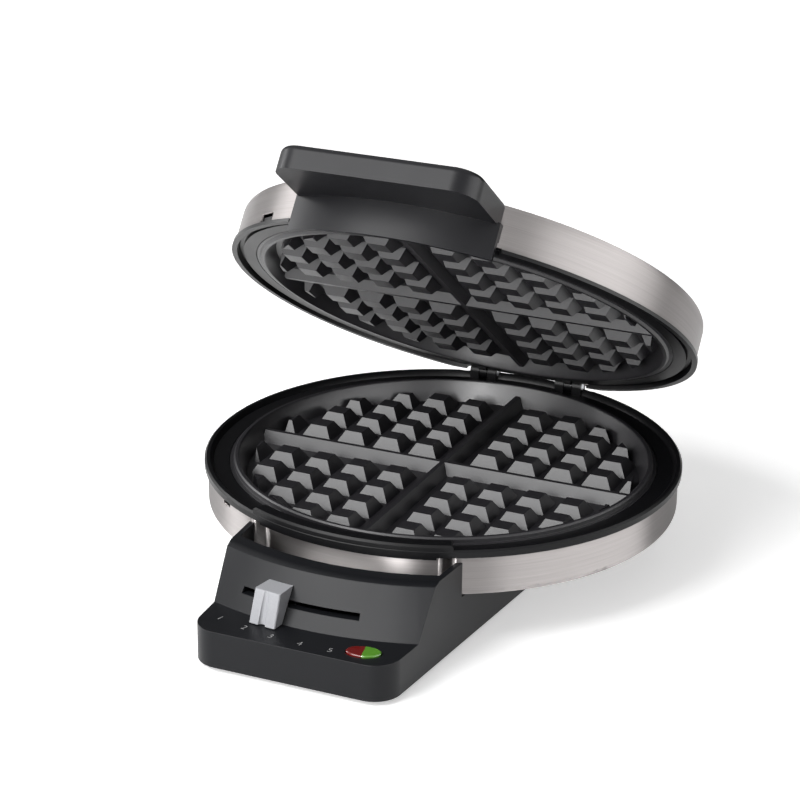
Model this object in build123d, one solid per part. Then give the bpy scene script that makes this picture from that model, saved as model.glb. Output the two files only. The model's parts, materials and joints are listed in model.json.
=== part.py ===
from build123d import *
import math
import os

# Round waffle maker: a flared base with a square nose, a drawn steel pan in a black rim, and a
# steel lid on two hinge pins. Millimetres, +Z up, front towards -Y. The origin is on the table,
# under the middle of the base. Heights named *_Z are over the table.
os.makedirs("parts", exist_ok=True)

# Building allowances: SPARE is how far a cut or a join runs past a face, ROOT how deep a form is
# rooted in what it stands on, BIG a reach beyond the whole object
SPARE = 1.0
ROOT = 0.5
BIG = 400.0
MIN_CORNER_R = 1.0

# Base
FOOT_H = 2.0
FOOT_R = 6.0
NOSE_OUT = 46.0
REAR_OUT = 4.5
BASE_HALF_FRONT = 41.0
BASE_FLARE = 0.074
NOSE_CORNER_R = 11.0
REAR_CORNER_R = 12.0
NOSE_H = 14.9
DECK_H = 19.9
LEDGE_H = 34.2
REAR_BLOCK_H = 26.0
REAR_BLOCK_L = 22.0
WALL = 2.5
COVER_T = 2.0
FOOT_CHAMFER = 0.4

# Ring: the pan, the rims and the lid share one vertical axis. The rim's radius drives them all, and
# the base's length too: each IN or OUT is a step from the piece beside it.
RING_Y = 20.0
RIM_R = 98.0
PAN_IN = 1.5
RECESS_IN = 4.5
PAN_H = 16.7
SHEET_T = 0.8
PAN_EDGE_R = 3.0
RECESS_AZ = (-25.7, 24.5)
STEP_DEG = 1.2
STEP_R = 4.0
RIM_T = 3.0
APRON_IN = 0.2
APRON_T = 6.3
APRON_AZ = 25.8
APRON_UP = 1.9
APRON_DOWN = 1.0
GUTTER_DEPTH = 2.2
GUTTER_EDGE = 1.0
GUTTER_RUN = 1.5
RIM_EDGE = 0.8
RIM_LAND = 2.2
RIM_SEAT_GAP = 0.4
RIM_SEAT_T = 1.5
RIB_T = 1.7
RIB_H = 3.0
RIB_AZ = 48.0

# Control panel: a cone round the ring's axis
PANEL_OUT = 29.75
PANEL_LEAN = 11.75
PANEL_TOP_DROP = 1.3
PANEL_BEVEL_IN = 3.3
LEDGE_OUT = 10.0
SLOT_AZ = (-14.5, 9.0)
SLOT_H = 2.3
SLOT_OVER_NOSE = 5.8

# Grid plates
PLATE_IN = 10.4
PLATE_FLANGE_T = 1.3
BEAD_IN = 1.6
CAVITY_IN = 3.4
CAVITY_LEAN = 1.8
PLATE_FLOOR_T = 2.5
PLATE_WALL_LOW = 0.4
PLATE_WALL_TOP = 1.6
BEAD_FOOT = 0.2
BEAD_EDGE = 0.6
BEAD_W = 1.8
UPPER_FLANGE_UP = 1.0
LOWER_DEPTH = 9.0
UPPER_DEPTH = 5.9
PEG_PITCH = 16.4
PEG_W = 13.6
PEG_DRAFT = 31.0
PEG_GAP_X = 7.3
PEG_GAP_Y = 9.8
PEG_LOWER_H = 5.2
PEG_UPPER_H = 4.5
PEG_EDGE_GAP = 2.2
PEG_LEAST = 25.0
PEG_COUNT = 5
PEG_KEEP = 0.3
RIDGE_W = 7.0
RIDGE_TIP_W = 2.0
RIDGE_LOWER_H = 5.0
RIDGE_UPPER_H = 3.7

# Heating elements and reflectors
ELEMENT_R = 2.3
ELEMENT_IN = 12.8
ELEMENT_GAP_DEG = 30.0
ELEMENT_CHANNEL = 1.0
GROOVE_SPARE_DEG = 8.0
TERMINAL_R = 1.2
TERMINAL_L = 7.0
REFLECTOR_OUT = 2.2
REFLECTOR_T = 0.4
REFLECTOR_LIP = 4.0
BOSS_R = 4.0
BOSS_IN = 18.0
BOSS_AZ = (180.0, 40.0, -40.0)
UPPER_BOSS_H = 4.0
PLATE_SCREW_IN = 5.0
UPPER_SCREW_IN = 4.0

# Lid, closed, over the rim's top
LID_GAP = 0.3
LIP_T = 1.5
LID_IN = 0.9
LID_H = 20.5
LID_EDGE_R = 6.0
LID_BACK_IN = 1.0
LID_CORNER_R = 7.0
LID_OPEN_DEG = 36.54
WINDOW_LID_AZ = (-40.2, -34.8)
WINDOW_LID_H = 4.0
WINDOW_PAN_AZ = (-41.0, -37.5)
WINDOW_PAN_H = 3.0
WINDOW_PAN_DROP = 0.3
LID_RIM_FIT = 0.2
COVER_SEAT_H = 2.7
COVER_SEAT_T = 1.5
LID_WEB_T = 1.6
LID_GROOVE_IN = 4.8
LID_GROOVE_W = 1.8
LID_GROOVE_H = 2.6
APRON_ROOM = 0.5
APRON_ROOM_DEG = 1.2

# Hinge
HINGE_IN = 5.0
HINGE_UP = 1.0
EAR_IN_X = 14.0
EAR_T = 4.0
KNUCKLE_W = 3.4
SIDE_GAP = 0.3
KNUCKLE_R = 3.2
KNUCKLE_GAP = 0.3
PIN_R = 1.5
PIN_RUN = 0.05
ARM_REACH = 5.0

# Handle
GRIP_OUT = 25.0
GRIP_HALF_W = 41.5
GRIP_CORNER_R = 10.0
GRIP_LOW = 10.0
GRIP_TOP = 20.0
GRIP_EDGE_R = 2.5
SKIRT_GAP = 0.2
SKIRT_T = 1.8
SKIRT_HALF_W = 42.5
SKIRT_LOW = -4.0
HANDLE_SCREW_X = 26.0
HANDLE_SCREW_UP = 12.5
HANDLE_SCREW_L = 16.0
PAD_LOW = 4.0
HANDLE_FIT = 0.1

# Browning slider, on a lever from the thermostat's spindle
SLIDER_AZ = -7.1
KNOB_HALF_DEG = 2.55
KNOB_TOP_OVER_NOSE = 13.0
KNOB_TOP_OUT = 1.25
KNOB_LOW_OUT = 5.45
KNOB_GAP = 0.4
KNOB_GROOVE_R = 1.6
KNOB_GROOVE_OUT = 0.7
KNOB_ROUND = 0.8
LEVER_W = 8.0
STEM_W = 4.8
LEVER_T = 1.6
RISER_OUT = 5.0
STEM_END_IN = 1.5
THERMOSTAT_R = 12.0
SPINDLE_R = 3.0
SPINDLE_RUN = 0.05
SPINDLE_IN = 4.0
HUB_R = 6.0
HUB_H = 3.5
HUB_GAP = 0.5
HUB_ROOM = 1.8
LEVER_SCREW_L = 5.0
LEVER_HEAD_R = 4.5
TAB_L = 44.0
TAB_W = 10.0
TAB_T = 1.0
TAB_SCREW_X = 17.5

# Indicator lenses and lamps
LENS_X = 27.3
LENS_BACK = 8.9
LENS_TURN = 11.45
LENS_A = 6.75
LENS_B = 4.1
LENS_UP = 0.8
LENS_ROUND = 0.55
LENS_FLANGE = 1.2
LAMP_R = 2.5
LAMP_ROUND = 2.0
LAMP_X = 3.6
LAMP_WIRE_R = 1.0
HOLDER_W = 19.2
HOLDER_D = 7.6
HOLDER_T = 1.5

# Fasteners and small parts; head rounds and drive slots are shares of the screw's head
HEAD_ROUND = 0.35
DRIVE_SPAN = 0.55
DRIVE_DEPTH = 0.5
DRIVE_W = 0.8
HEAD_SINK = 0.4
TIP_ROOM = 2.0
SCREW_SKIN = 0.4
TIP_GAP = 0.4
SCREW_R = 2.0
SCREW_HEAD_R = 3.6
SCREW_HEAD_T = 1.8
SMALL_SCREW_R = 1.5
SMALL_HEAD_R = 2.8
SMALL_HEAD_T = 1.6
SCREW_FIT = 0.05
SCREW_GAP = 0.3
POST_R = 4.0
POST_FRONT = (35.0, 46.0)
POST_REAR = (40.0, 22.5)
COVER_BOSS_R = 5.0
COVER_BOSS_H = 4.0
FEET_FRONT = (32.0, 22.0)
FEET_REAR = (45.0, 14.5)
PLUG_R = 2.5
PLUG_HEAD_R = 3.5
PLUG_HEAD_T = 1.2
VENT_L = 16.0
VENT_W = 2.4
VENT_PITCH = 6.0
VENT_COUNT = 5
VENT_X = 20.0
VENT_DY = 22.0
BLOCK_SIZE = (26.0, 11.0, 9.0)
BLOCK_IN = 36.5
BLOCK_PITCH = 8.1
BLOCK_WELL_R = 1.8
BLOCK_WIRE_R = 1.4
FUSE_R = 2.1
UPPER_FUSE_R = 1.7
FUSE_L = 12.0
FUSE_DY = 34.0
FUSE_LEAD_R = 0.5
FUSE_LEAD_L = 8.0
INLET_Z = 11.0
INLET_R = 3.6
BUSH_R = 6.0
BUSH_FLANGE_R = 8.4
BUSH_FLANGE_T = 1.5
BUSH_BARB_R = 7.0
BUSH_BARB_T = 2.0
BUSH_CHAMFER = 0.5

# Worked out from the sizes above
PAN_R = RIM_R - PAN_IN
PAN_RECESS_R = PAN_R - RECESS_IN
APRON_R = RIM_R - APRON_IN
APRON_IN_R = APRON_R - APRON_T
LID_R = RIM_R - LID_IN
PLATE_FLANGE_R = RIM_R - PLATE_IN
BEAD_R = PLATE_FLANGE_R - BEAD_IN
CAVITY_R = BEAD_R - CAVITY_IN
CAVITY_FLOOR_R = CAVITY_R - CAVITY_LEAN
RIM_SEAT_R = CAVITY_R + PLATE_WALL_TOP + RIM_SEAT_GAP
ELEMENT_RING_R = CAVITY_FLOOR_R - ELEMENT_IN
BOSS_RING_R = ELEMENT_RING_R - BOSS_IN
REFLECTOR_R = CAVITY_FLOOR_R + REFLECTOR_OUT
HINGE_Y = RIM_R - HINGE_IN
LID_BACK_Y = HINGE_Y - LID_BACK_IN
GRIP_FRONT_Y = -RIM_R - GRIP_OUT
SKIRT_R = RIM_R + SKIRT_GAP + SKIRT_T
LEDGE_IN_R = RIM_R + LEDGE_OUT
PANEL_LOW_R = RIM_R + PANEL_OUT
PANEL_TOP_R = PANEL_LOW_R - PANEL_LEAN
PANEL_BEVEL_R = PANEL_TOP_R - PANEL_BEVEL_IN
KNOB_TOP_R = PANEL_LOW_R + KNOB_TOP_OUT
KNOB_LOW_R = PANEL_LOW_R + KNOB_LOW_OUT
STEM_END_R = KNOB_TOP_R - STEM_END_IN
LEVER_RISER_R = LEDGE_IN_R + RISER_OUT
BASE_FRONT_Y = RING_Y - RIM_R - NOSE_OUT
REAR_Y = RING_Y + RIM_R + REAR_OUT
BASE_Z = FOOT_H
NOSE_Z = BASE_Z + NOSE_H
DECK_Z = BASE_Z + DECK_H
LEDGE_Z = BASE_Z + LEDGE_H
RIM_LOW_Z = DECK_Z + PAN_H
RIM_Z = RIM_LOW_Z + RIM_T
COVER_TOP_Z = BASE_Z + COVER_T
DECK_LOW_Z = DECK_Z - WALL
SLOT_Z = NOSE_Z + SLOT_OVER_NOSE
PAN_FLOOR_Z = DECK_Z + SHEET_T
REFLECTOR_Z = PAN_FLOOR_Z + REFLECTOR_T
HINGE_Z = RIM_Z + HINGE_UP
KNUCKLE_X = EAR_IN_X + EAR_T + SIDE_GAP
EAR_OUT_X = KNUCKLE_X + KNUCKLE_W + SIDE_GAP
PIN_END_X = EAR_OUT_X + EAR_T
HUB_LOW_Z = COVER_TOP_Z + SMALL_HEAD_T + HUB_ROOM
THERMOSTAT_LOW_Z = HUB_LOW_Z + HUB_H + HUB_GAP
PANEL_TOP_Z = LEDGE_Z - PANEL_TOP_DROP
SEAT_TOP_Z = RIM_Z - GUTTER_DEPTH - PLATE_FLANGE_T
FLANGE_ROOM_R = PLATE_FLANGE_R + SCREW_GAP


def at_ring(z):
    """Plane across the ring's axis at a height over the table."""
    return Plane((0, RING_Y, z))


def polar(radius, az):
    """Place at an azimuth from straight ahead, positive towards +X, about the ring's axis."""
    a = math.radians(az)
    return (radius * math.sin(a), RING_Y - radius * math.cos(a))


def disc(radius, low, high, centre=(0.0, None)):
    """Upright cylinder between two heights."""
    x = centre[0]
    y = RING_Y if centre[1] is None else centre[1]
    return Pos(x, y, low) * extrude(Circle(radius), high - low)


def tube(outer, inner, low, high):
    return disc(outer, low, high) - disc(inner, low - SPARE, high + SPARE)


def block(x0, x1, y0, y1, z0, z1):
    middle = Pos((x0 + x1) / 2, (y0 + y1) / 2, (z0 + z1) / 2)
    return middle * Box(x1 - x0, y1 - y0, z1 - z0)


def turned(points):
    """Solid of revolution about the ring's axis from (radius, height) points."""
    face = make_face(Polyline(*[(r, 0, z) for r, z in points], close=True))
    return Pos(0, RING_Y, 0) * revolve(face, Axis.Z)


def sector(az0, az1, reach, low, high):
    """Wedge about the ring's axis, less than half a turn wide."""
    mid = (az0 + az1) / 2
    reach_out = reach / math.cos(math.radians((az1 - az0) / 2))
    corners = [(0.0, RING_Y), polar(reach_out, az0), polar(reach_out, mid), polar(reach_out, az1)]
    face = make_face(Polyline(*corners, close=True))
    return Pos(0, 0, low) * extrude(face, high - low)


def cross_rod(radius, x0, x1, y, z):
    """Rod along X."""
    return Pos(x0, y, z) * Rot(0, 90, 0) * extrude(Circle(radius), x1 - x0)


def screw(x, y, seat_z, tip_z, radius, head_r, head_t):
    """Upright screw whose head lies under the seat and whose tip points up."""
    shank = disc(radius, seat_z, tip_z, (x, y))
    head = disc(head_r, seat_z - head_t, seat_z, (x, y))
    head = fillet(head.edges().group_by(Axis.Z)[0], head_t * HEAD_ROUND)
    reach = head_r * DRIVE_SPAN
    drive = block(x - reach, x + reach, y - DRIVE_W / 2, y + DRIVE_W / 2,
                  seat_z - head_t, seat_z - head_t * DRIVE_DEPTH)
    return shank + head - drive


def half_width(y, inset=0.0):
    """Half the base's width at a place along it."""
    return BASE_HALF_FRONT + BASE_FLARE * (y - BASE_FRONT_Y) - inset


def plan(inset):
    """Base outline, drawn in by an inset."""
    front = BASE_FRONT_Y + inset
    rear = REAR_Y - inset
    x0 = half_width(front, inset)
    x1 = half_width(rear, inset)
    face = make_face(Polyline((-x0, front), (x0, front), (x1, rear), (-x1, rear), close=True))
    corners = face.vertices().sort_by(Axis.Y)
    face = fillet(corners[0:2], max(NOSE_CORNER_R - inset, MIN_CORNER_R))
    corners = face.vertices().sort_by(Axis.Y)
    return fillet(corners[-2:], max(REAR_CORNER_R - inset, MIN_CORNER_R))


def plan_solid(inset, low, high):
    return Pos(0, 0, low) * extrude(plan(inset), high - low)


def panel_radius(z):
    """Radius of the panel's cone at a height."""
    share = (z - NOSE_Z) / (PANEL_TOP_Z - NOSE_Z)
    return PANEL_LOW_R + (PANEL_TOP_R - PANEL_LOW_R) * share


def panel_cone(inset, low, top, top_inset):
    """Solid under the panel's cone, with the bevel at its top."""
    lean = math.atan2(PANEL_LOW_R - PANEL_TOP_R, PANEL_TOP_Z - NOSE_Z)
    back = inset / math.cos(lean)
    points = [(0, low), (panel_radius(low) - back, low), (PANEL_TOP_R - back, PANEL_TOP_Z - top_inset),
              (PANEL_BEVEL_R - back, top), (0, top)]
    return turned(points)


def housing_shape(inset):
    """Outer form of the base housing, or its hollow when drawn in by the wall."""
    low = BASE_Z - (SPARE if inset else 0.0)
    nose_top = NOSE_Z - inset
    deck_top = DECK_Z - inset
    nose = plan_solid(inset, low, nose_top)
    upper = plan_solid(inset, nose_top - SPARE, BIG / 2)
    panel = upper & panel_cone(inset, nose_top - SPARE, LEDGE_Z - inset, inset)
    panel = panel - disc(LEDGE_IN_R + inset, deck_top, BIG)
    front_half = block(-BIG, BIG, -BIG, RING_Y, 0, BIG)
    rear_half = block(-BIG, BIG, RING_Y - SPARE, BIG, 0, BIG)
    deck = plan_solid(inset, nose_top - SPARE, deck_top) & disc(LEDGE_IN_R + SPARE, 0, BIG)
    rear = plan_solid(inset, nose_top - SPARE, BASE_Z + REAR_BLOCK_H - inset) & rear_half
    rear -= disc(PAN_R + SCREW_GAP + inset, deck_top, BIG)
    rear -= block(-BIG, BIG, RING_Y, REAR_Y - REAR_BLOCK_L + inset, deck_top, BIG)
    return nose + (panel & front_half) + deck + rear


def side_walls():
    """Walls that close the pocket behind the panel on its left and right, back to the pan."""
    low = DECK_Z - SPARE
    walls = plan_solid(0.0, low, LEDGE_Z) - plan_solid(WALL, low - SPARE, LEDGE_Z + SPARE)
    walls = walls & block(-BIG, BIG, -BIG, RING_Y, 0, BIG)
    walls = walls & disc(LEDGE_IN_R + SPARE, 0, BIG)
    return walls - disc(PAN_R + SCREW_GAP, 0, BIG)


def hinge_ears():
    """Four ears that rise from the rear of the lower rim and carry the hinge pins."""
    ears = Part()
    axis_y = RING_Y + HINGE_Y
    for x0 in (EAR_IN_X, EAR_OUT_X):
        for side in (1, -1):
            xa, xb = sorted((side * x0, side * (x0 + EAR_T)))
            ears += block(xa, xb, axis_y - KNUCKLE_R, axis_y + KNUCKLE_R, RIM_LOW_Z, HINGE_Z)
            ears += cross_rod(KNUCKLE_R, xa, xb, axis_y, HINGE_Z)
    return ears


def knuckle_room():
    """Room in the lower rim for the lid's turning knuckles."""
    room = Part()
    for side in (1, -1):
        xa, xb = sorted((side * (KNUCKLE_X - SIDE_GAP), side * EAR_OUT_X))
        room += cross_rod(KNUCKLE_R + KNUCKLE_GAP, xa, xb, RING_Y + HINGE_Y, HINGE_Z)
    return room


def ear_room():
    """Room in the lid, closed, for the ears and their round tops at every angle."""
    room = Part()
    axis_y = RING_Y + HINGE_Y
    reach = KNUCKLE_R + KNUCKLE_GAP
    for x0 in (EAR_IN_X, EAR_OUT_X):
        for side in (1, -1):
            xa, xb = sorted((side * (x0 - SIDE_GAP), side * (x0 + EAR_T + SIDE_GAP)))
            room += cross_rod(reach, xa, xb, axis_y, HINGE_Z)
            room += block(xa, xb, axis_y - reach, axis_y + reach, RIM_LOW_Z, HINGE_Z)
    return room


def pin_holes(radius):
    """Bores along the hinge axis, drilled from both sides."""
    axis_y = RING_Y + HINGE_Y
    rods = cross_rod(radius, EAR_IN_X, BIG / 2, axis_y, HINGE_Z)
    return rods + cross_rod(radius, -BIG / 2, -EAR_IN_X, axis_y, HINGE_Z)


def four_places(front, rear):
    """Places on both sides of the base, from (x, distance in from its front or rear) pairs."""
    places = []
    for x, y in ((front[0], BASE_FRONT_Y + front[1]), (rear[0], REAR_Y - rear[1])):
        for side in (1, -1):
            places.append((side * x, y))
    return places


def post_places():
    """Places of the screw posts for the bottom cover."""
    return four_places(POST_FRONT, POST_REAR)


def foot_places():
    return four_places(FEET_FRONT, FEET_REAR)


def lens_place():
    return Pos(LENS_X, BASE_FRONT_Y + LENS_BACK, 0) * Rot(0, 0, LENS_TURN)


def boss_places():
    return [polar(BOSS_RING_R, az) for az in BOSS_AZ]


def base_housing():
    body = housing_shape(0.0) - housing_shape(WALL)
    body += side_walls()
    slot = tube(BIG / 2, LEDGE_IN_R + WALL + SPARE, SLOT_Z, SLOT_Z + SLOT_H)
    body -= slot & sector(SLOT_AZ[0], SLOT_AZ[1], BIG / 3, SLOT_Z, SLOT_Z + SLOT_H)
    for x, y in post_places():
        body += disc(POST_R, BASE_Z + COVER_BOSS_H, DECK_LOW_Z + SPARE, (x, y))
        body -= disc(SMALL_SCREW_R + SCREW_FIT, BASE_Z, DECK_LOW_Z, (x, y))
    for x, y in boss_places():
        body -= disc(SCREW_R + SCREW_GAP, DECK_LOW_Z - SPARE, DECK_Z + SPARE, (x, y))
    for side in (1, -1):
        place = (side * TAB_SCREW_X, RING_Y)
        body -= disc(SMALL_SCREW_R + SCREW_FIT, DECK_LOW_Z - SPARE, DECK_Z - SCREW_SKIN, place)
    hole = Ellipse(LENS_A + SCREW_GAP, LENS_B + SCREW_GAP)
    body -= lens_place() * Pos(0, 0, NOSE_Z - WALL - SPARE) * extrude(hole, WALL + 2 * SPARE)
    inlet = Pos(0, REAR_Y + SPARE, INLET_Z) * Rot(90, 0, 0)
    body -= inlet * extrude(Circle(BUSH_R + SCREW_FIT), WALL + 2 * SPARE)
    return body


def bottom_cover():
    body = plan_solid(WALL + SCREW_GAP, BASE_Z, COVER_TOP_Z)
    for x, y in post_places():
        body += disc(COVER_BOSS_R, BASE_Z, BASE_Z + COVER_BOSS_H, (x, y))
    for x, y in post_places():
        body -= disc(SMALL_HEAD_R + SCREW_GAP, BASE_Z - SPARE, BASE_Z + SMALL_HEAD_T + HEAD_SINK, (x, y))
        body -= disc(SMALL_SCREW_R + SCREW_GAP, BASE_Z, BASE_Z + COVER_BOSS_H + SPARE, (x, y))
    for x, y in foot_places():
        body -= disc(PLUG_R + SCREW_FIT, BASE_Z - SPARE, COVER_TOP_Z + SPARE, (x, y))
    for side in (1, -1):
        for i in range(VENT_COUNT):
            y = RING_Y + VENT_DY + (i - (VENT_COUNT - 1) / 2) * VENT_PITCH
            slot = SlotOverall(VENT_L, VENT_W)
            body -= Pos(side * VENT_X, y, BASE_Z - SPARE) * extrude(slot, COVER_T + 2 * SPARE)
    return body


def base_screws():
    group = Part()
    for x, y in post_places():
        seat = BASE_Z + SMALL_HEAD_T + HEAD_SINK
        group += screw(x, y, seat, DECK_LOW_Z - TIP_ROOM, SMALL_SCREW_R, SMALL_HEAD_R, SMALL_HEAD_T)
    return group


def rubber_feet():
    group = Part()
    for x, y in foot_places():
        foot = disc(FOOT_R, 0, BASE_Z, (x, y))
        foot = chamfer(foot.edges().group_by(Axis.Z)[0], FOOT_CHAMFER)
        foot += disc(PLUG_R, BASE_Z, COVER_TOP_Z, (x, y))
        foot += disc(PLUG_HEAD_R, COVER_TOP_Z, COVER_TOP_Z + PLUG_HEAD_T, (x, y))
        group += foot
    return group


def pan_outline():
    """Pan seen from above: a circle whose front is set back between two sloping steps."""
    sides = []
    for az, turn in zip(RECESS_AZ, (1, -1)):
        outer = Vector(*polar(PAN_R, az - turn * STEP_DEG)) - Vector(0, RING_Y)
        inner = Vector(*polar(PAN_RECESS_R, az + turn * STEP_DEG)) - Vector(0, RING_Y)
        sides.append((outer + (outer - inner) * 2.0, inner))
    middle = Vector(0, -PAN_R / 2)
    points = [sides[0][0], sides[0][1], middle, sides[1][1], sides[1][0], middle * 4.0]
    wedge = make_face(Polyline(*points, close=True))
    face = Circle(PAN_R) - (wedge - Circle(PAN_RECESS_R))
    corners = [v for v in face.vertices() if abs(v.X) < PAN_R * 0.6 and v.Y < 0]
    return fillet(corners, STEP_R)


def lower_pan():
    outer = at_ring(DECK_Z) * extrude(pan_outline(), PAN_H)
    outer = fillet(outer.edges().group_by(Axis.Z)[0], PAN_EDGE_R)
    inner = at_ring(PAN_FLOOR_Z) * extrude(offset(pan_outline(), -SHEET_T), PAN_H)
    inner = fillet(inner.edges().group_by(Axis.Z)[0], PAN_EDGE_R - SHEET_T)
    body = outer - inner
    for x, y in boss_places():
        body -= disc(SCREW_R + SCREW_GAP, DECK_Z - SPARE, PAN_FLOOR_Z + SPARE, (x, y))
    top = RIM_LOW_Z - WINDOW_PAN_DROP
    window = tube(PAN_R + SPARE, PAN_R - SHEET_T - SPARE, top - WINDOW_PAN_H, top)
    return body - (window & sector(WINDOW_PAN_AZ[0], WINDOW_PAN_AZ[1], BIG / 3, 0, BIG))


def lower_rim():
    """Black ring: a gutter round the plate, a seat under the plate's flange and a rib inside the pan."""
    top = RIM_Z
    low = RIM_LOW_Z
    land = RIM_R - RIM_LAND
    pan_in = PAN_RECESS_R - SHEET_T - SCREW_GAP
    points = [(RIM_R, low), (RIM_R, top - RIM_EDGE), (RIM_R - RIM_EDGE, top), (land, top),
              (land - GUTTER_EDGE, top - GUTTER_EDGE), (land - GUTTER_RUN, top - GUTTER_DEPTH),
              (FLANGE_ROOM_R, top - GUTTER_DEPTH), (FLANGE_ROOM_R, SEAT_TOP_Z),
              (RIM_SEAT_R, SEAT_TOP_Z), (RIM_SEAT_R, SEAT_TOP_Z - RIM_SEAT_T),
              (pan_in, SEAT_TOP_Z - RIM_SEAT_T), (pan_in, low)]
    body = turned(points)
    rib_r = PAN_R - SHEET_T - SCREW_GAP
    rib = tube(rib_r, rib_r - RIB_T, low - RIB_H, low + ROOT)
    body += rib - sector(-RIB_AZ, RIB_AZ, BIG / 3, 0, BIG)
    pad = tube(APRON_R, APRON_IN_R, low, top + APRON_UP) & sector(-APRON_AZ, APRON_AZ, BIG / 3, 0, BIG)
    pad = chamfer(pad.edges().group_by(Axis.Z)[-1], RIM_EDGE)
    inside = 2.0 * STEP_DEG
    drop = tube(APRON_R, PAN_RECESS_R + SCREW_GAP, low - APRON_DOWN, low)
    drop = drop & sector(RECESS_AZ[0] + inside, RECESS_AZ[1] - inside, BIG / 3, 0, BIG)
    body = body + pad + drop - knuckle_room() + hinge_ears()
    return body - pin_holes(PIN_R)


def pegs(height):
    """Square waffle pegs in four fields, standing on z = 0 and cut by the round cavity."""
    stock = Part()
    foot = PEG_W + 2 * ROOT * math.tan(math.radians(PEG_DRAFT))
    for i in range(PEG_COUNT):
        for j in range(PEG_COUNT):
            x = PEG_GAP_X + PEG_W / 2 + i * PEG_PITCH
            y = PEG_GAP_Y + PEG_W / 2 + j * PEG_PITCH
            if math.hypot(x - PEG_W * PEG_KEEP, y - PEG_W * PEG_KEEP) > CAVITY_FLOOR_R - PEG_EDGE_GAP:
                continue
            peg = Pos(x, y, -ROOT) * extrude(Rectangle(foot, foot), height + ROOT, taper=PEG_DRAFT)
            peg = peg & extrude(Circle(CAVITY_FLOOR_R - PEG_EDGE_GAP), BIG / 4, both=True)
            if peg.volume > PEG_LEAST:
                stock += peg
    half = stock + mirror(stock, Plane.YZ)
    return half + mirror(half, Plane.XZ)


def ridges(height):
    """Two crossing V ridges that part the waffle into quarters."""
    foot = RIDGE_W / 2
    tip = RIDGE_TIP_W / 2
    bar = make_face(Polyline((-foot, -ROOT), (foot, -ROOT), (tip, height), (-tip, height), close=True))
    along_y = extrude(Plane.XZ * bar, CAVITY_R, both=True)
    return (along_y + Rot(0, 0, 90) * along_y) & extrude(Circle(CAVITY_FLOOR_R + SPARE), BIG / 4, both=True)


def plate(depth, flange_up, peg_h, ridge_h, boss_h):
    """Cast grid plate, cavity upwards, with z = 0 at the cavity's floor."""
    flange = depth - flange_up
    bead_in = BEAD_R - BEAD_W
    points = [(0, -PLATE_FLOOR_T), (CAVITY_FLOOR_R + PLATE_WALL_LOW, -PLATE_FLOOR_T),
              (CAVITY_R + PLATE_WALL_TOP, flange - PLATE_FLANGE_T), (PLATE_FLANGE_R, flange - PLATE_FLANGE_T),
              (PLATE_FLANGE_R, flange), (BEAD_R + BEAD_FOOT, flange), (BEAD_R, depth - BEAD_EDGE),
              (BEAD_R - BEAD_EDGE, depth), (bead_in, depth), (bead_in - BEAD_EDGE, depth - BEAD_EDGE),
              (CAVITY_FLOOR_R, 0), (0, 0)]
    face = make_face(Polyline(*[(r, 0, z) for r, z in points], close=True))
    body = revolve(face, Axis.Z)
    body += pegs(peg_h)
    body += ridges(ridge_h)
    for az in BOSS_AZ:
        x, y = polar(BOSS_RING_R, az)
        spot = Pos(x, y - RING_Y, -PLATE_FLOOR_T - boss_h)
        body += spot * extrude(Circle(BOSS_R), boss_h + ROOT)
        body -= spot * extrude(Circle(SCREW_R + SCREW_FIT), boss_h)
    groove = element_path(ELEMENT_R + SCREW_FIT, ELEMENT_GAP_DEG - GROOVE_SPARE_DEG)
    deep = Pos(0, 0, -PLATE_FLOOR_T + ELEMENT_CHANNEL - ELEMENT_R)
    return body - deep * groove


def element_path(radius, gap_deg):
    """Open ring of a tubular element about z = 0, with its gap towards +Y."""
    ring = revolve(Plane.XZ * Pos(ELEMENT_RING_R, 0) * Circle(radius), Axis.Z, 360.0 - gap_deg)
    return Rot(0, 0, 90.0 + gap_deg / 2) * ring


def element():
    """Heating element with a terminal pin at each end."""
    body = element_path(ELEMENT_R, ELEMENT_GAP_DEG)
    for side in (1, -1):
        a = math.radians(90.0 - side * ELEMENT_GAP_DEG / 2)
        heading = (-side * math.sin(a), side * math.cos(a), 0)
        start = Plane((ELEMENT_RING_R * math.cos(a), ELEMENT_RING_R * math.sin(a), 0), z_dir=heading)
        body += start * extrude(Circle(TERMINAL_R), TERMINAL_L)
    return body


def lower_place():
    return Pos(0, RING_Y, RIM_Z - LOWER_DEPTH)


def upper_place():
    """Place of the lid's plate, turned over, with the lid closed."""
    return Pos(0, RING_Y, RIM_Z + LID_GAP + UPPER_DEPTH) * Rot(0, 180, 0)


def lower_boss_h():
    return RIM_Z - LOWER_DEPTH - PLATE_FLOOR_T - REFLECTOR_Z


def lower_grid_plate():
    body = plate(LOWER_DEPTH, GUTTER_DEPTH, PEG_LOWER_H, RIDGE_LOWER_H, lower_boss_h())
    return lower_place() * body


def lower_heating_element():
    drop = PLATE_FLOOR_T - ELEMENT_CHANNEL + ELEMENT_R
    return lower_place() * Pos(0, 0, -drop) * element()


def reflector():
    """Shallow dish, floor at z = 0 and lip upwards."""
    body = extrude(Circle(REFLECTOR_R), REFLECTOR_LIP)
    body -= Pos(0, 0, REFLECTOR_T) * extrude(Circle(REFLECTOR_R - REFLECTOR_T), REFLECTOR_LIP)
    for az in BOSS_AZ:
        x, y = polar(BOSS_RING_R, az)
        body -= Pos(x, y - RING_Y, -SPARE) * extrude(Circle(SCREW_R + SCREW_GAP), REFLECTOR_T + 2 * SPARE)
    return body


def lower_reflector():
    return at_ring(PAN_FLOOR_Z) * reflector()


def lower_plate_screws():
    group = Part()
    for x, y in boss_places():
        group += screw(x, y, DECK_LOW_Z, REFLECTOR_Z + PLATE_SCREW_IN, SCREW_R, SCREW_HEAD_R, SCREW_HEAD_T)
    return group


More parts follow.
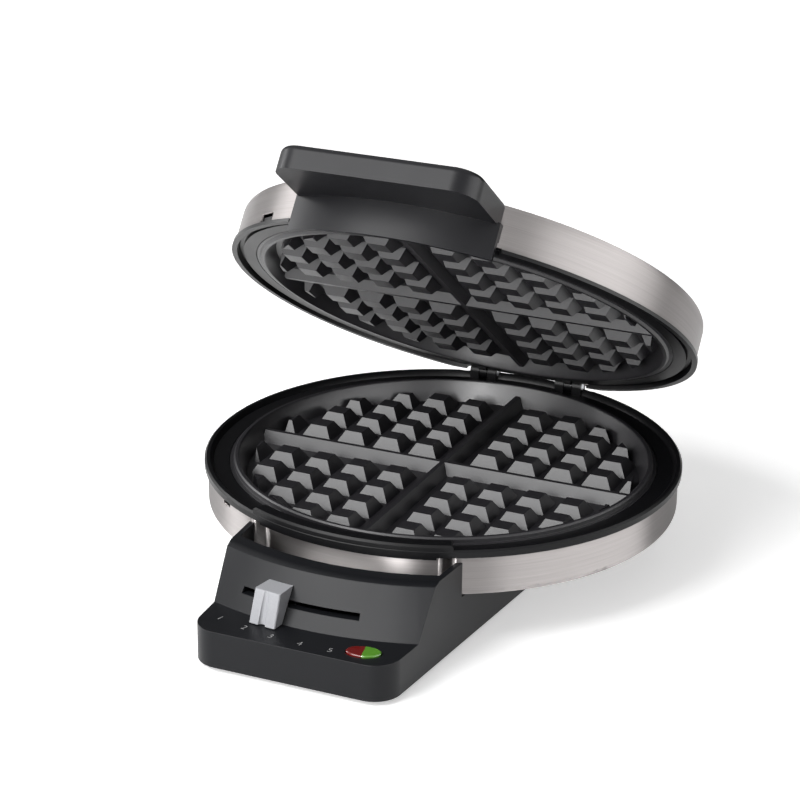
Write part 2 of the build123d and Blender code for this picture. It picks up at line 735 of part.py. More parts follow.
def thermostat_body():
    body = disc(THERMOSTAT_R, THERMOSTAT_LOW_Z, DECK_LOW_Z)
    tab_low = DECK_LOW_Z - TAB_T
    body += block(-TAB_L / 2, TAB_L / 2, RING_Y - TAB_W / 2, RING_Y + TAB_W / 2, tab_low, DECK_LOW_Z)
    well_top = THERMOSTAT_LOW_Z + SPINDLE_IN + SCREW_GAP
    body -= disc(SPINDLE_R + SPINDLE_RUN, THERMOSTAT_LOW_Z - SPARE, well_top)
    for side in (1, -1):
        place = (side * TAB_SCREW_X, RING_Y)
        body -= disc(SMALL_SCREW_R + SCREW_GAP, DECK_LOW_Z - TAB_T - SPARE, DECK_LOW_Z + SPARE, place)
    return body


def thermostat_screws():
    group = Part()
    for side in (1, -1):
        seat = DECK_LOW_Z - TAB_T
        tip = DECK_Z - SCREW_SKIN - TIP_GAP
        x = side * TAB_SCREW_X
        group += screw(x, RING_Y, seat, tip, SMALL_SCREW_R, SMALL_HEAD_R, SMALL_HEAD_T)
    return group


def slider_turn():
    """Turn about the ring's axis from straight ahead to the slider's rest place."""
    return Pos(0, RING_Y, 0) * Rot(0, 0, SLIDER_AZ) * Pos(0, -RING_Y, 0)


def thermostat_spindle():
    body = disc(SPINDLE_R, HUB_LOW_Z, THERMOSTAT_LOW_Z + SPINDLE_IN)
    return body - disc(SMALL_SCREW_R + SCREW_FIT, HUB_LOW_Z - SPARE, HUB_LOW_Z + LEVER_SCREW_L + TIP_GAP)


def stem_z():
    return SLOT_Z + (SLOT_H - LEVER_T) / 2


def slider_lever():
    """Flat lever: hub, arm under the deck, riser behind the panel, stem through the slot."""
    front = RING_Y - LEVER_RISER_R
    arm = block(-LEVER_W / 2, LEVER_W / 2, front - LEVER_T, RING_Y, HUB_LOW_Z, HUB_LOW_Z + LEVER_T)
    riser = block(-LEVER_W / 2, LEVER_W / 2, front - LEVER_T, front, HUB_LOW_Z, stem_z() + LEVER_T)
    stem = block(-STEM_W / 2, STEM_W / 2, RING_Y - STEM_END_R, front, stem_z(), stem_z() + LEVER_T)
    body = arm + riser + stem + disc(HUB_R, HUB_LOW_Z, HUB_LOW_Z + HUB_H)
    return slider_turn() * (body - disc(SPINDLE_R, HUB_LOW_Z - SPARE, HUB_LOW_Z + HUB_H + SPARE))


def lever_screw():
    tip = HUB_LOW_Z + LEVER_SCREW_L
    return screw(0, RING_Y, HUB_LOW_Z, tip, SMALL_SCREW_R, LEVER_HEAD_R, SMALL_HEAD_T)


def browning_slider():
    low = NOSE_Z + KNOB_GAP
    top = NOSE_Z + KNOB_TOP_OVER_NOSE
    points = [(panel_radius(low) + KNOB_GAP, low), (KNOB_LOW_R, low),
              (KNOB_TOP_R, top), (panel_radius(top) + KNOB_GAP, top)]
    body = turned(points) & sector(-KNOB_HALF_DEG, KNOB_HALF_DEG, BIG / 2, 0, BIG)
    outer = body.edges().filter_by(lambda e: polar_distance(e) > KNOB_TOP_R - SPARE)
    outer = outer.filter_by(lambda e: e.bounding_box().max.Z > low + ROOT)
    body = fillet(outer, KNOB_ROUND)
    groove_low = Vector(0, RING_Y - KNOB_LOW_R - KNOB_GROOVE_OUT, low - 2 * SPARE)
    groove_top = Vector(0, RING_Y - KNOB_TOP_R - KNOB_GROOVE_OUT, top + 2 * SPARE)
    heading = groove_top - groove_low
    line = Plane(groove_low, z_dir=heading)
    body -= line * extrude(Circle(KNOB_GROOVE_R), heading.length)
    socket = block(-STEM_W / 2 - SCREW_FIT, STEM_W / 2 + SCREW_FIT, RING_Y - STEM_END_R - SCREW_FIT, RING_Y,
                   stem_z() - SCREW_FIT, stem_z() + LEVER_T + SCREW_FIT)
    return slider_turn() * (body - socket)


def polar_distance(edge):
    """Least distance of an edge's ends from the ring's axis."""
    return min(math.hypot(v.X, v.Y - RING_Y) for v in edge.vertices())


def lenses():
    top = NOSE_Z + LENS_UP
    flange_z = NOSE_Z - WALL
    body = Pos(0, 0, flange_z - LENS_FLANGE) * extrude(Ellipse(LENS_A, LENS_B), top - flange_z + LENS_FLANGE)
    body = fillet(body.edges().group_by(Axis.Z)[-1], LENS_ROUND)
    flange = Ellipse(LENS_A + LENS_FLANGE, LENS_B + LENS_FLANGE)
    return body + Pos(0, 0, flange_z - LENS_FLANGE) * extrude(flange, LENS_FLANGE)


def red_lens():
    return lens_place() * (lenses() & block(-BIG, 0, -BIG, BIG, 0, BIG))


def green_lens():
    return lens_place() * (lenses() & block(0, BIG, -BIG, BIG, 0, BIG))


def holder_floor_z():
    return COVER_TOP_Z + PLUG_HEAD_T + SCREW_GAP + HOLDER_T


def lamp_holder():
    floor_z = holder_floor_z()
    side_low = floor_z - HOLDER_T
    body = block(-HOLDER_W / 2, HOLDER_W / 2, -HOLDER_D / 2, HOLDER_D / 2, side_low, floor_z)
    for side in (1, -1):
        xa, xb = sorted((side * HOLDER_W / 2, side * (HOLDER_W / 2 - HOLDER_T)))
        body += block(xa, xb, -HOLDER_D / 2, HOLDER_D / 2, side_low, NOSE_Z - WALL)
    for side in (1, -1):
        wire = Pos(side * LAMP_X, 0, side_low - SPARE) * extrude(Circle(LAMP_WIRE_R), HOLDER_T + 2 * SPARE)
        body -= wire
    return lens_place() * body


def indicator_lamps():
    group = Part()
    top = NOSE_Z - WALL - LENS_FLANGE - SCREW_GAP
    for side in (1, -1):
        lamp = Pos(side * LAMP_X, 0, holder_floor_z()) * extrude(Circle(LAMP_R), top - holder_floor_z())
        group += lens_place() * fillet(lamp.edges().group_by(Axis.Z)[-1], LAMP_ROUND)
    return group


def terminal_block():
    """Three-way block: a screw well over each of three wire holes."""
    width, depth, height = BLOCK_SIZE
    y = REAR_Y - BLOCK_IN
    low = DECK_LOW_Z - height
    middle = DECK_LOW_Z - height / 2
    body = block(-width / 2, width / 2, y - depth / 2, y + depth / 2, low, DECK_LOW_Z)
    for i in (-1, 0, 1):
        x = i * BLOCK_PITCH
        body -= disc(BLOCK_WELL_R, low - SPARE, middle, (x, y))
        body -= Pos(x, y, middle) * Rot(90, 0, 0) * extrude(Circle(BLOCK_WIRE_R), depth, both=True)
    return body


def fuse(radius, z):
    """Thermal fuse with a lead at each end, along X."""
    y = RING_Y + FUSE_DY
    end = FUSE_L / 2
    body = cross_rod(radius, -end, end, y, z)
    return body + cross_rod(FUSE_LEAD_R, -end - FUSE_LEAD_L, end + FUSE_LEAD_L, y, z)


def thermal_fuse():
    return fuse(FUSE_R, DECK_LOW_Z - FUSE_R - SCREW_FIT)


def cord_bushing():
    """Grommet for the mains lead in the rear wall."""
    outside = REAR_Y + BUSH_FLANGE_T
    inside = REAR_Y - WALL
    facing = Pos(0, outside, INLET_Z) * Rot(90, 0, 0)
    body = facing * extrude(Circle(BUSH_FLANGE_R), BUSH_FLANGE_T)
    body += facing * extrude(Circle(BUSH_R), outside - inside + BUSH_BARB_T)
    body += Pos(0, inside, INLET_Z) * Rot(90, 0, 0) * extrude(Circle(BUSH_BARB_R), BUSH_BARB_T)
    body = chamfer(body.edges().group_by(Axis.Y)[-1], BUSH_CHAMFER)
    length = outside - inside + BUSH_BARB_T + 2 * SPARE
    return body - facing * Pos(0, 0, -SPARE) * extrude(Circle(INLET_R), length)


def hinge_pins():
    """Plain dowels, flush with the ears."""
    axis_y = RING_Y + HINGE_Y
    group = cross_rod(PIN_R, EAR_IN_X, PIN_END_X, axis_y, HINGE_Z)
    return group + cross_rod(PIN_R, -PIN_END_X, -EAR_IN_X, axis_y, HINGE_Z)


def lid_clip(back):
    """Everything in front of the lid's flat back."""
    return block(-BIG, BIG, -BIG, RING_Y + LID_BACK_Y - back, 0, BIG)


def lid_bowl(inset, low, high, edge_r):
    body = disc(LID_R - inset, low, high) & lid_clip(inset)
    upright = body.edges().filter_by(Axis.Z)
    body = fillet(upright, LID_CORNER_R - inset)
    return fillet(body.edges().group_by(Axis.Z)[-1], edge_r)


def lid_cover():
    low = RIM_Z + LID_GAP + LIP_T
    top = RIM_Z + LID_H
    outer = lid_bowl(0.0, low, top, LID_EDGE_R)
    inner = lid_bowl(SHEET_T, low - SPARE, top - SHEET_T, LID_EDGE_R - SHEET_T)
    body = outer - inner
    window = tube(LID_R + SPARE, LID_R - SHEET_T - SPARE, low, low + WINDOW_LID_H)
    body -= window & sector(WINDOW_LID_AZ[0], WINDOW_LID_AZ[1], BIG / 3, 0, BIG)
    body -= apron_room()
    for side in (1, -1):
        xa, xb = sorted((side * (EAR_IN_X - SIDE_GAP), side * (PIN_END_X + SIDE_GAP)))
        notch_top = HINGE_Z + KNUCKLE_R + KNUCKLE_GAP
        body -= block(xa, xb, RING_Y + LID_BACK_Y - WALL, BIG, 0, notch_top)
        body -= handle_screw_hole(side, SMALL_SCREW_R + SCREW_GAP)
    return body


def handle_screw_hole(side, radius):
    """Hole along Y through the cover's front wall for a handle screw."""
    z = RIM_Z + HANDLE_SCREW_UP
    start = Pos(side * HANDLE_SCREW_X, RING_Y - LID_R + HANDLE_SCREW_L, z)
    return start * Rot(90, 0, 0) * extrude(Circle(radius), 2.0 * HANDLE_SCREW_L)


def lid_rim():
    """Black ring under the cover: an outer lip, a groove and a web that holds the plate's flange."""
    low = RIM_Z + LID_GAP
    lip = low + LIP_T
    cover_in = SHEET_T + LID_RIM_FIT
    inner = LID_R - cover_in
    flange_low = low + UPPER_FLANGE_UP
    web_low = flange_low + PLATE_FLANGE_T
    web_top = web_low + LID_WEB_T
    groove_in = RIM_R - LID_GROOVE_IN
    points = [(RIM_R, low), (RIM_R, lip), (inner, lip), (inner, lip + COVER_SEAT_H),
              (inner - COVER_SEAT_T, lip + COVER_SEAT_H), (inner - COVER_SEAT_T, web_top),
              (RIM_SEAT_R, web_top), (RIM_SEAT_R, web_low), (FLANGE_ROOM_R, web_low),
              (FLANGE_ROOM_R, flange_low), (groove_in, flange_low),
              (groove_in + LID_RIM_FIT, low + LID_GROOVE_H),
              (groove_in + LID_RIM_FIT + LID_GROOVE_W, low + LID_GROOVE_H), (RIM_R - RIM_LAND, low)]
    body = turned(points) & lid_clip(0.0)
    body -= block(-BIG, BIG, RING_Y + LID_BACK_Y - cover_in, BIG, lip, BIG)
    body = body - apron_room() - ear_room() + hinge_knuckles()
    return body - pin_holes(PIN_R + PIN_RUN)


def apron_room():
    """Room in the closed lid for the raised apron of the lower rim."""
    room = tube(BIG / 3, APRON_IN_R - APRON_ROOM, RIM_LOW_Z, RIM_Z + APRON_UP + APRON_ROOM)
    reach = APRON_AZ + APRON_ROOM_DEG
    return room & sector(-reach, reach, BIG / 3, 0, BIG)


def hinge_knuckles():
    """The lid's two knuckles, on short arms from the rim's flat back."""
    low = RIM_Z + LID_GAP
    axis_y = RING_Y + HINGE_Y
    knuckles = Part()
    for side in (1, -1):
        xa, xb = sorted((side * KNUCKLE_X, side * (KNUCKLE_X + KNUCKLE_W)))
        knuckles += block(xa, xb, axis_y - ARM_REACH, axis_y, low, HINGE_Z + KNUCKLE_R)
        knuckles += cross_rod(KNUCKLE_R, xa, xb, axis_y, HINGE_Z)
    return knuckles


def upper_boss_top():
    return RIM_Z + LID_GAP + UPPER_DEPTH + PLATE_FLOOR_T + UPPER_BOSS_H


def upper_grid_plate():
    body = plate(UPPER_DEPTH, UPPER_FLANGE_UP, PEG_UPPER_H, RIDGE_UPPER_H, UPPER_BOSS_H)
    return upper_place() * body


def upper_heating_element():
    drop = PLATE_FLOOR_T - ELEMENT_CHANNEL + ELEMENT_R
    return upper_place() * Pos(0, 0, -drop) * element()


def upper_reflector():
    return Pos(0, RING_Y, upper_boss_top() + REFLECTOR_T) * Rot(0, 180, 0) * reflector()


def upper_plate_screws():
    group = Part()
    seat = upper_boss_top() + REFLECTOR_T
    for az in BOSS_AZ:
        x, y = polar(BOSS_RING_R, az)
        upright = screw(0, 0, 0, UPPER_SCREW_IN, SCREW_R, SCREW_HEAD_R, SCREW_HEAD_T)
        group += Pos(-x, y, seat) * Rot(0, 180, 0) * upright
    return group


def upper_thermal_fuse():
    plate_back = RIM_Z + LID_GAP + UPPER_DEPTH + PLATE_FLOOR_T
    return fuse(UPPER_FUSE_R, plate_back + UPPER_FUSE_R + SCREW_FIT)


def lid_handle():
    """Flat grip with a curved apron under it that hugs the cover's front."""
    back_r = LID_R + HANDLE_FIT
    front = RING_Y + GRIP_FRONT_Y
    top_of_skirt = RIM_Z + GRIP_LOW + SPARE
    grip = block(-GRIP_HALF_W, GRIP_HALF_W, front, RING_Y, RIM_Z + GRIP_LOW, RIM_Z + GRIP_TOP)
    corners = grip.edges().filter_by(Axis.Z).group_by(Axis.Y)[0]
    grip = fillet(corners, GRIP_CORNER_R)
    grip = fillet(grip.edges().group_by(Axis.Z)[-1], GRIP_EDGE_R)
    grip -= disc(back_r, 0, BIG)
    width = block(-SKIRT_HALF_W, SKIRT_HALF_W, -BIG, RING_Y, 0, BIG)
    skirt = tube(SKIRT_R, SKIRT_R - SKIRT_T, RIM_Z + SKIRT_LOW, top_of_skirt) & width
    pads = tube(SKIRT_R, back_r, RIM_Z + PAD_LOW, top_of_skirt) & width
    body = grip + skirt + pads
    for side in (1, -1):
        body -= handle_screw_hole(side, SMALL_SCREW_R + SCREW_FIT)
    return body


def handle_screws():
    group = Part()
    z = RIM_Z + HANDLE_SCREW_UP
    for side in (1, -1):
        x = side * HANDLE_SCREW_X
        seat = RING_Y - math.sqrt((LID_R - SHEET_T) ** 2 - (HANDLE_SCREW_X + SMALL_HEAD_R) ** 2)
        shaft = Pos(x, seat, z) * Rot(90, 0, 0) * extrude(Circle(SMALL_SCREW_R), HANDLE_SCREW_L)
        head = Pos(x, seat + SMALL_HEAD_T, z) * Rot(90, 0, 0) * extrude(Circle(SMALL_HEAD_R), SMALL_HEAD_T)
        group += shaft + head
    return group


def opened(solid):
    """Turn a lid piece from its closed place to the photographed rest place."""
    hinge = Pos(0, RING_Y + HINGE_Y, HINGE_Z)
    return hinge * Rot(-LID_OPEN_DEG, 0, 0) * Pos(0, -RING_Y - HINGE_Y, -HINGE_Z) * solid


BASE_PIECES = (base_housing, bottom_cover, base_screws, rubber_feet, lower_pan, lower_rim,
               lower_grid_plate, lower_heating_element, lower_reflector, lower_plate_screws,
               thermostat_body, thermostat_screws, red_lens, green_lens, lamp_holder,
               indicator_lamps, terminal_block, thermal_fuse, cord_bushing, hinge_pins)
SLIDER_PIECES = (thermostat_spindle, slider_lever, lever_screw, browning_slider)
LID_PIECES = (lid_cover, lid_rim, upper_grid_plate, upper_heating_element, upper_reflector,
              upper_plate_screws, upper_thermal_fuse, lid_handle, handle_screws)

for piece in BASE_PIECES + SLIDER_PIECES:
    export_step(piece(), f"parts/{piece.__name__}.step")
for piece in LID_PIECES:
    export_step(opened(piece()), f"parts/{piece.__name__}.step")
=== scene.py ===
"""Looks of a round waffle maker: brushed steel covers, satin mouldings and dark cast plates."""
import json
import math

import bmesh
import bpy
from bpy.props import FloatProperty, PointerProperty, StringProperty
from mathutils import Matrix, Vector


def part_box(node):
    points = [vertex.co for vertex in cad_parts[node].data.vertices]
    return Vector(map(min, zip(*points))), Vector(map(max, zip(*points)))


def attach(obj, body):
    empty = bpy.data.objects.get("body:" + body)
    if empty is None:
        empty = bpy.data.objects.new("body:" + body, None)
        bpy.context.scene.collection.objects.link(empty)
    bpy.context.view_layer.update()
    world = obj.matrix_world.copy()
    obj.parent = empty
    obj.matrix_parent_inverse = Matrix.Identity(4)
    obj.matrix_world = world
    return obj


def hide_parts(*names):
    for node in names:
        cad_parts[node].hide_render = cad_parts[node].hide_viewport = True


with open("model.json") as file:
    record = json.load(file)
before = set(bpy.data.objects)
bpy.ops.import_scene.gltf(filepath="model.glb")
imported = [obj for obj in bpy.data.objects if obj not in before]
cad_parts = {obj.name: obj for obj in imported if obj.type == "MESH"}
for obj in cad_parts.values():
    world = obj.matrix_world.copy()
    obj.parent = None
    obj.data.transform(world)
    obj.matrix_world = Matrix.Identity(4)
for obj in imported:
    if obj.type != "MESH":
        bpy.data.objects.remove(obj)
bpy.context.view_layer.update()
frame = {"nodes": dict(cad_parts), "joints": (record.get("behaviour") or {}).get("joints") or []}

bl_info = {
    "name": "Round Waffle Maker",
    "version": (1, 0, 0),
    "blender": (4, 5, 0),
    "location": "View3D > Sidebar > Waffle Maker",
    "description": "Builds the finished look of a round waffle maker round its packed frame",
    "category": "Object",
}

NODES = frame["nodes"]
JOINTS = {joint["name"]: joint for joint in frame["joints"]}
MM = 0.001

# How far the lenses stand over the nose
LENS_UP = 0.8 * MM

# Places read from the frame, in metres
RING = Vector(JOINTS["browning_slide"]["pos_m"])
HINGE = Vector(JOINTS["lid_hinge"]["pos_m"])
LID_ANGLE = math.radians(-JOINTS["lid_hinge"]["range_deg"][0])
RIM_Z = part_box("lower_grid_plate")[1].z
NOSE_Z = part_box("red_lens")[1].z - LENS_UP
TO_REST = (Matrix.Translation(HINGE) @ Matrix.Rotation(-LID_ANGLE, 4, "X")
           @ Matrix.Translation(-HINGE))

# Printed scale: azimuths from straight ahead in degrees, reach from the ring's axis in mm, and a
# digit's height as a share of its font size
DIGITS = 5
DIGIT_AZ = -14.4
DIGIT_AZ_STEP = 5.18
DIGIT_REACH = 136.5
DIGIT_REACH_STEP = 0.75
DIGIT_ASPECT = 0.7
INK_T = 0.01 * MM
INK_LIFT = 0.02 * MM
STROKE_THIN = -0.06 * MM

# Copies of the frame's meshes: points closer than MERGE are one, and faces that turn less than
# FLAT against each other become one face
MERGE = 1e-6
FLAT = math.radians(0.5)

# White surroundings: how strongly the paper glows near the object and far from it, between which
# distances, and how bright the room is for matt surfaces and where it is seen
GLOW_NEAR, GLOW_FAR = 0.48, 0.9
GLOW_FROM, GLOW_TO = 0.4, 1.8
ROOM_MATT, ROOM_SEEN = 0.25, 1.0


class WaffleStageProps(bpy.types.PropertyGroup):
    yaw: FloatProperty(name="Camera yaw",
                       description="Turn of the camera to the right of the front",
                       default=math.radians(24.162), subtype="ANGLE", unit="ROTATION")
    pitch: FloatProperty(name="Camera pitch", description="Height angle of the camera",
                         default=math.radians(21.29), subtype="ANGLE", unit="ROTATION")
    roll: FloatProperty(name="Camera roll", description="Turn of the picture about the view line",
                        default=math.radians(0.628), subtype="ANGLE", unit="ROTATION")
    distance: FloatProperty(name="Camera distance", description="Camera to aim point",
                            default=1.14673, unit="LENGTH")
    aim_x: FloatProperty(name="Aim sideways", description="Aim point, from the ring's axis",
                         default=-0.040416, unit="LENGTH")
    aim_y: FloatProperty(name="Aim back", description="Aim point, behind the ring's axis",
                         default=0.046027, unit="LENGTH")
    lens: FloatProperty(name="Lens", description="Focal length on a 36 mm sensor", default=119.43)
    floor_size: FloatProperty(name="Floor size", description="Side of the square floor",
                              default=6.0, unit="LENGTH")
    floor_colour: StringProperty(name="Floor colour", description="Paint of the floor, sRGB hex",
                                 default="#FFFFFF")


class WaffleSteelProps(bpy.types.PropertyGroup):
    steel_colour: StringProperty(name="Steel colour", description="Brushed steel, sRGB hex",
                                 default="#989493")
    scratch_length: FloatProperty(name="Scratch length", description="Length of a brushing scratch",
                                  default=30.0 * MM, unit="LENGTH")
    scratch_width: FloatProperty(name="Scratch width", description="Width of a brushing scratch",
                                 default=0.14 * MM, unit="LENGTH")
    rolled_edge: FloatProperty(name="Rolled edge", description="Rounding of the sheet's edges",
                               default=0.35 * MM, unit="LENGTH")


class WafflePlasticProps(bpy.types.PropertyGroup):
    housing_colour: StringProperty(name="Housing colour", description="Satin moulding, sRGB hex",
                                   default="#131417")
    rim_colour: StringProperty(name="Rim colour", description="Black rims, sRGB hex",
                               default="#0B0B0D")
    handle_colour: StringProperty(name="Handle colour", description="Handle moulding, sRGB hex",
                                  default="#161619")
    slider_colour: StringProperty(name="Slider colour", description="Browning slider, sRGB hex",
                                  default="#A4A5A9")
    red_colour: StringProperty(name="Red lens", description="Power lens, sRGB hex",
                               default="#74120F")
    green_colour: StringProperty(name="Green lens", description="Ready lens, sRGB hex",
                                 default="#5C9A2A")
    print_colour: StringProperty(name="Scale ink", description="Printed numbers, sRGB hex",
                                 default="#9C9C9C")
    digit_height: FloatProperty(name="Digit height", description="Height of the printed numbers",
                                default=3.1 * MM, unit="LENGTH")


class WafflePlateProps(bpy.types.PropertyGroup):
    coat_colour: StringProperty(name="Non-stick colour",
                                description="Coat on the cast plates, sRGB hex",
                                default="#232225")


def linear(hex_colour):
    """sRGB hex to linear RGBA."""
    out = []
    for i in (1, 3, 5):
        c = int(hex_colour[i:i + 2], 16) / 255.0
        out.append(c / 12.92 if c <= 0.04045 else ((c + 0.055) / 1.055) ** 2.4)
    return (*out, 1.0)


def add_node(tree, kind, settings=None, links=None):
    """Add a node with its settings and its links from other sockets."""
    node = tree.nodes.new(kind)
    for key, value in (settings or {}).items():
        if isinstance(key, int) or key in node.inputs:
            node.inputs[key].default_value = value
        else:
            setattr(node, key, value)
    for key, source in (links or {}).items():
        tree.links.new(source, node.inputs[key])
    return node


def new_material(name, settings):
    mat = bpy.data.materials.new(name)
    mat.use_nodes = True
    tree = mat.node_tree
    tree.nodes.clear()
    shader = add_node(tree, "ShaderNodeBsdfPrincipled", settings)
    out = add_node(tree, "ShaderNodeOutputMaterial")
    tree.links.new(shader.outputs["BSDF"], out.inputs["Surface"])
    return mat, tree, shader


def speckle(tree, grain_mm, coord="Object"):
    """Noise whose features are about grain_mm across."""
    coords = add_node(tree, "ShaderNodeTexCoord")
    noise = add_node(tree, "ShaderNodeTexNoise", {"Scale": 1.0 / (grain_mm * MM), "Detail": 3.0},
                     {"Vector": coords.outputs[coord]})
    return noise.outputs["Fac"]


def colour_vary(tree, shader, colour, amount, spread):
    """Vary a base colour a little with a noise value."""
    dark = [c * (1.0 - spread) for c in colour[:3]] + [1.0]
    light = [min(1.0, c * (1.0 + spread)) for c in colour[:3]] + [1.0]
    mix = add_node(tree, "ShaderNodeMix", {"data_type": "RGBA"}, {0: amount})
    mix.inputs[6].default_value = dark
    mix.inputs[7].default_value = light
    tree.links.new(mix.outputs[2], shader.inputs["Base Color"])


def rough_vary(tree, shader, amount, low, high):
    span = add_node(tree, "ShaderNodeMapRange", {"To Min": low, "To Max": high}, {"Value": amount})
    tree.links.new(span.outputs["Result"], shader.inputs["Roughness"])


def bump(tree, shader, height, depth_mm, strength=1.0):
    node = add_node(tree, "ShaderNodeBump", {"Distance": depth_mm * MM, "Strength": strength},
                    {"Height": height})
    tree.links.new(node.outputs["Normal"], shader.inputs["Normal"])


def moulded_plastic(name, hex_colour, roughness, grain_mm=0.5, depth_mm=0.02, specular=0.2):
    """Injection moulded plastic: a fine spark-eroded grain breaks up a soft broad highlight.
    The grain is drawn coarser than the mould leaves it, or it would not show."""
    colour = linear(hex_colour)
    mat, tree, shader = new_material(name, {"Base Color": colour, "Roughness": roughness,
                                            "IOR": 1.5, "Specular IOR Level": specular})
    fine = speckle(tree, grain_mm)
    broad = speckle(tree, 30.0)
    colour_vary(tree, shader, colour, fine, 0.12)
    rough_vary(tree, shader, broad, roughness - 0.05, roughness + 0.05)
    bump(tree, shader, fine, depth_mm)
    return mat


def brushed_steel(name, props):
    """Drawn stainless sheet, brushed along its band: long fine scratches streak the reflections
    and spread them up and down. They are drawn coarser than real ones, so that they show."""
    colour = linear(props.steel_colour)
    mat, tree, shader = new_material(name, {"Base Color": colour, "Metallic": 1.0,
                                            "Roughness": 0.48, "Anisotropic": 1.0,
                                            "Anisotropic Rotation": 0.25})
    uv = add_node(tree, "ShaderNodeUVMap", {"uv_map": "band"})
    fine = scratch_noise(tree, uv, props.scratch_length, props.scratch_width)
    # A coarser pass of the belt leaves soft bands between the scratches.
    broad = scratch_noise(tree, uv, props.scratch_length * 4.0, props.scratch_width * 9.0)
    both = add_node(tree, "ShaderNodeMix", {"data_type": "FLOAT", 0: 0.4},
                    {2: fine.outputs["Fac"], 3: broad.outputs["Fac"]})
    colour_vary(tree, shader, colour, both.outputs[0], 0.35)
    rough_vary(tree, shader, both.outputs[0], 0.4, 0.56)
    bump(tree, shader, fine.outputs["Fac"], 0.012, 0.6)
    tangent = add_node(tree, "ShaderNodeTangent", {"direction_type": "UV_MAP", "uv_map": "band"})
    tree.links.new(tangent.outputs["Tangent"], shader.inputs["Tangent"])
    return mat


def scratch_noise(tree, uv, length, width):
    """Noise drawn out along the band map: one streak is about length by width."""
    stretch = add_node(tree, "ShaderNodeMapping", {"Scale": (1.0 / length, 1.0 / width, 1.0)},
                       {"Vector": uv.outputs["UV"]})
    return add_node(tree, "ShaderNodeTexNoise", {"Scale": 1.0, "Detail": 2.0},
                    {"Vector": stretch.outputs["Vector"]})


def cast_coat(name, hex_colour):
    """Die-cast aluminium under a baked non-stick coat: nearly black, a low orange-peel sheen."""
    colour = linear(hex_colour)
    mat, tree, shader = new_material(name, {"Base Color": colour, "Roughness": 0.36, "IOR": 1.5,
                                            "Specular IOR Level": 0.5})
    peel = speckle(tree, 0.9)
    colour_vary(tree, shader, colour, peel, 0.15)
    rough_vary(tree, shader, peel, 0.30, 0.42)
    bump(tree, shader, peel, 0.02)
    return mat


def plain_metal(name, hex_colour, roughness):
    """Small metal part, plated or rolled: slightly cloudy, with an even dull shine."""
    colour = linear(hex_colour)
    mat, tree, shader = new_material(name, {"Base Color": colour, "Metallic": 1.0,
                                            "Roughness": roughness})
    cloud = speckle(tree, 2.0)
    colour_vary(tree, shader, colour, cloud, 0.08)
    rough_vary(tree, shader, cloud, roughness - 0.06, roughness + 0.06)
    return mat


def clear_lens(name, hex_colour):
    """Tinted acrylic, polished mould: deep colour under a wet-looking surface."""
    colour = linear(hex_colour)
    mat, tree, shader = new_material(name, {"Base Color": colour, "Roughness": 0.2, "IOR": 1.49,
                                            "Transmission Weight": 0.15, "Coat Weight": 0.4,
                                            "Coat Roughness": 0.05})
    cloud = speckle(tree, 1.2)
    colour_vary(tree, shader, colour, cloud, 0.12)
    return mat


def link(obj):
    bpy.context.scene.collection.objects.link(obj)
    return obj


def put(obj, material, slot, body, *nodes):
    """Give a finished piece its material, set it on its body, hide what it replaces."""
    obj.data.materials.clear()
    obj.data.materials.append(material)
    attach(obj, body)
    if nodes:
        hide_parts(*nodes)
    return obj


def mesh_object(name, bm):
    mesh = bpy.data.meshes.new(name)
    bm.normal_update()
    bm.to_mesh(mesh)
    bm.free()
    return link(bpy.data.objects.new(name, mesh))


def joined_up(node):
    """Mesh of a rigid node with its triangles joined into whole faces."""
    bm = bmesh.new()
    bm.from_mesh(NODES[node].data)
    bmesh.ops.remove_doubles(bm, verts=bm.verts, dist=MERGE)
    bmesh.ops.dissolve_limit(bm, angle_limit=FLAT, verts=bm.verts, edges=bm.edges)
    for face in bm.faces:
        face.smooth = True
    return bm


def rounded(obj, width):
    """Round every sharp edge, and let the large faces set the shading."""
    mod = obj.modifiers.new("round_edges", "BEVEL")
    mod.width = width
    mod.segments = 3
    mod.limit_method = "ANGLE"
    mod.angle_limit = math.radians(30.0)
    mod.use_clamp_overlap = True
    obj.modifiers.new("large_faces_shade", "WEIGHTED_NORMAL")


def softened(node, name, width_mm):
    """Copy of a rigid node with its sharp edges rounded as a mould rounds them."""
    obj = mesh_object(name, joined_up(node))
    rounded(obj, width_mm * MM)
    return obj


def seen_directly(tree):
    """1 where the camera sees a surface, or sees it in a mirror or through glass, otherwise 0."""
    path = add_node(tree, "ShaderNodeLightPath")
    mirror = add_node(tree, "ShaderNodeMath", {"operation": "MAXIMUM"},
                      {0: path.outputs["Is Camera Ray"], 1: path.outputs["Is Glossy Ray"]})
    glass = add_node(tree, "ShaderNodeMath", {"operation": "MAXIMUM"},
                     {0: mirror.outputs[0], 1: path.outputs["Is Transmission Ray"]})
    return glass.outputs[0]


